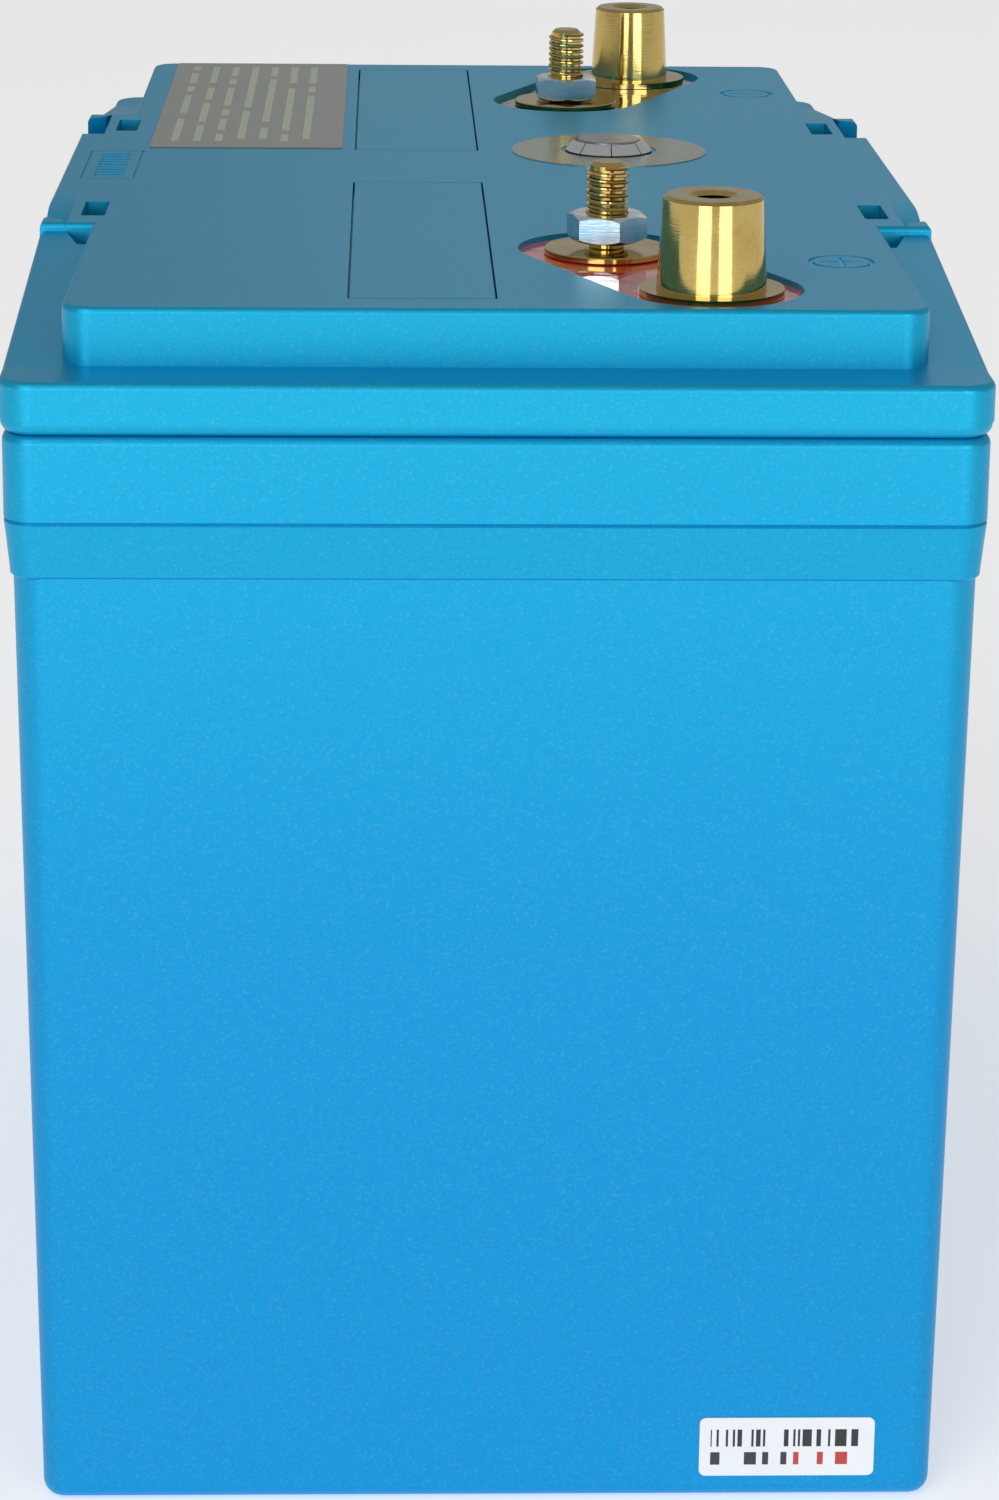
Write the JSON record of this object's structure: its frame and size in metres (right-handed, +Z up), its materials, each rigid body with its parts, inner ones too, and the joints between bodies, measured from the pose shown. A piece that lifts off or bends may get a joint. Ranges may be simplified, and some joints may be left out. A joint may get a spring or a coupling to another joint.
{
  "type": "deep cycle battery",
  "caption": "Rectangular deep cycle battery with a stepped lid, a tapered post and a threaded stud at each end, strap slots and a start button.",
  "frame": {"origin": "middle of the underside, on the surface the battery stands on", "axes": "+Z up; +Y along the case towards the negative end; +X across the case towards the terminals"},
  "size_m": [0.168, 0.31, 0.2343],
  "materials": {
    "case_blue": "satin metallic blue moulding",
    "lid_blue": "satin metallic blue moulding",
    "terminal_brass": "turned, plated gold",
    "nut_steel": "bright zinc",
    "positive_resin": "glossy clear red resin",
    "negative_resin": "glossy black resin",
    "bezel_steel": "polished stainless",
    "cap_steel": "satin stainless",
    "seal_rubber": "matte",
    "spring_steel": "bright drawn wire",
    "info_film": "olive grey printed film",
    "button_film": "silver printed film",
    "serial_film": "white glossy sticker",
    "cell_can": "blue sleeved can with bare poles",
    "copper": "bare copper",
    "tinned_copper": "tinned",
    "plain_steel": "bright zinc",
    "insulation": "pale sheet",
    "end_plate": "mill finish",
    "foam": "closed-cell foam",
    "tray_plastic": "black moulding",
    "board_green": "solder mask",
    "component_black": "moulded",
    "sink_aluminium": "anodised",
    "connector_white": "nylon",
    "red_lead": "silicone sleeve",
    "black_lead": "silicone sleeve",
    "thin_wire": "thin insulated wire"
  },
  "bodies": {
    "battery": {"container": "case_blue", "cover": "case_blue", "lid": "lid_blue", "front_panel": "lid_blue", "rear_panel": "lid_blue", "info_label": "info_film", "serial_label": "serial_film", "button_label": "button_film", "positive_post": "terminal_brass", "negative_post": "terminal_brass", "positive_stud": "terminal_brass", "negative_stud": "terminal_brass", "positive_potting": "positive_resin", "negative_potting": "negative_resin", "positive_link": "copper", "negative_link": "copper", "terminal_base_nuts": "plain_steel", "button_body": "bezel_steel", "button_gasket": "seal_rubber", "button_spring": "spring_steel", "button_contact_block": "component_black", "button_lock_nut": "plain_steel", "cell_1": "cell_can", "cell_2": "cell_can", "cell_3": "cell_can", "cell_4": "cell_can", "cell_busbars": "copper", "cell_nuts": "plain_steel", "cell_separators": "insulation", "front_end_plate": "end_plate", "rear_end_plate": "end_plate", "stack_bands": "plain_steel", "front_end_pad": "foam", "rear_end_pad": "foam", "side_liners": "insulation", "base_pad": "foam", "bms_tray": "tray_plastic", "bms_standoffs": "plain_steel", "bms_board": "board_green", "bms_screws": "plain_steel", "bms_mosfets": "component_black", "bms_heat_sink": "sink_aluminium", "bms_connectors": "connector_white", "bms_terminals": "copper", "lead_lugs": "tinned_copper", "positive_lead": "red_lead", "cell_negative_lead": "black_lead", "negative_lead": "black_lead", "sense_wires": "thin_wire", "button_leads": "thin_wire", "temperature_sensor": "seal_rubber", "temperature_lead": "thin_wire"},
    "button": {"button_cap": "cap_steel"},
    "positive_nut": {"positive_terminal_nut": "nut_steel"},
    "negative_nut": {"negative_terminal_nut": "nut_steel"}
  },
  "joints": [
    {"name": "button_press", "type": "slide", "parent": "battery", "child": "button", "axis": [0, 0, -1], "range_m": [0, 0.0015], "stiffness_N_per_m": 2000, "springref_m": -0.0005, "deforming": ["button_spring"]},
    {"name": "positive_nut_climb", "type": "slide", "parent": "battery", "child": "positive_nut", "axis": [0, 0, 1], "range_m": [-0.0011, 0.0095]},
    {"name": "negative_nut_climb", "type": "slide", "parent": "battery", "child": "negative_nut", "axis": [0, 0, 1], "range_m": [0, 0.0106]}
  ]
}
